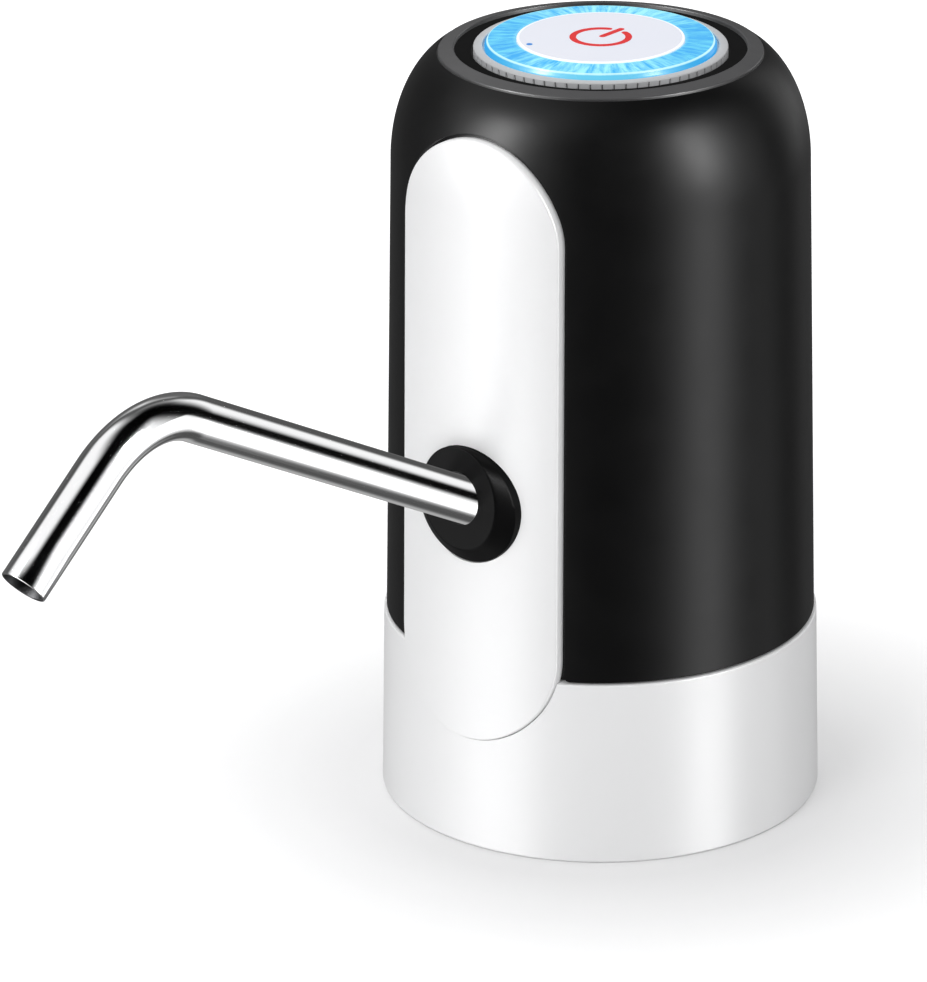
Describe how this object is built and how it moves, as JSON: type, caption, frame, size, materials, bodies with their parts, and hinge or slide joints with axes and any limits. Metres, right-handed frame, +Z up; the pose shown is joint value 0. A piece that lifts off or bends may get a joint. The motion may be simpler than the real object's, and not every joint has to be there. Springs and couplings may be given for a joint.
{
  "type": "bottle water pump dispenser",
  "caption": "Rechargeable pump dispenser that stands on a large water bottle's neck, with a bent swivelling steel spout and a push button on top.",
  "frame": {"origin": "on the body's axis, at the face that stops on top of the bottle's neck", "axes": "-Y towards the spout's side, +Z up through the button, +X to the right when the spout points at the viewer"},
  "size_m": [0.073, 0.178, 0.1293],
  "materials": {
    "cover_black": "fine matt moulded texture",
    "shell_white": "satin gloss",
    "trim_grey": "satin",
    "spout_steel": "polished stainless steel",
    "plated_steel": "plated",
    "seal_rubber": "matt",
    "silicone": "milky",
    "button_blue": "lit from below",
    "button_frost": "frosted",
    "button_white": "lit from below",
    "inner_plastic": "as moulded",
    "inner_black": "as moulded",
    "board_green": "solder mask",
    "cell_wrap": "shrink wrap"
  },
  "bodies": {
    "housing": {"base_skirt": "shell_white", "neck_collar": "silicone", "inlet_nipple": "inner_plastic", "deck_screw_1": "plated_steel", "deck_screw_2": "plated_steel", "deck_screw_3": "plated_steel", "deck_screw_4": "plated_steel", "outer_cover": "cover_black", "front_panel": "shell_white", "spout_collar": "cover_black", "spout_socket": "inner_plastic", "inner_frame": "inner_plastic", "inlet_hose": "silicone", "outlet_hose": "silicone", "pump_head": "inner_plastic", "valve_plate": "inner_plastic", "diaphragm": "seal_rubber", "pump_housing": "inner_plastic", "wobble_plate": "inner_plastic", "motor_can": "plated_steel", "motor_end_cap": "inner_black", "motor_terminal_left": "plated_steel", "motor_terminal_right": "plated_steel", "battery_cell": "cell_wrap", "main_board": "board_green", "usb_socket": "plated_steel", "charge_light_pipe": "button_frost", "button_bezel": "cover_black", "trim_ring": "trim_grey", "led_board": "board_green", "led_1": "button_frost", "led_2": "button_frost", "led_3": "button_frost", "led_4": "button_frost", "led_5": "button_frost", "led_6": "button_frost", "board_screw_1": "plated_steel", "board_screw_2": "plated_steel", "board_screw_3": "plated_steel", "tact_switch": "inner_black", "return_spring": "plated_steel"},
    "button": {"button_body": "button_frost", "light_ring": "button_blue", "button_disc": "button_white"},
    "plunger": {"switch_plunger": "inner_plastic"},
    "rotor": {"motor_shaft": "plated_steel", "eccentric": "inner_black"},
    "swivel_seal": {"socket_seal": "seal_rubber"},
    "spout": {"spout_pipe": "spout_steel", "spout_end_seal": "silicone"}
  },
  "joints": [
    {"name": "button_press", "type": "slide", "parent": "housing", "child": "button", "axis": [0, 0, -1], "range_m": [0, 0.0008], "stiffness_N_per_m": 400, "springref_m": -0.0015, "deforming": ["return_spring"]},
    {"name": "switch_travel", "type": "slide", "parent": "housing", "child": "plunger", "axis": [0, 0, -1], "range_m": [0, 0.00055]},
    {"name": "motor_spin", "type": "hinge", "parent": "housing", "child": "rotor", "pos_m": [0.01567, 0.00685, 0.042], "axis": [0, 0, 1], "continuous": true},
    {"name": "spout_swivel", "type": "hinge", "parent": "housing", "child": "swivel_seal", "pos_m": [0, -0.03534, 0.0361], "axis": [0, -0.8878, 0.4602], "continuous": true},
    {"name": "spout_pull", "type": "slide", "parent": "swivel_seal", "child": "spout", "axis": [0, -0.8878, 0.4602], "range_m": [0, 0.03]}
  ],
  "couplings": [
    {"joint": "switch_travel", "follows": "button_press", "ratio": 0.6875}
  ]
}
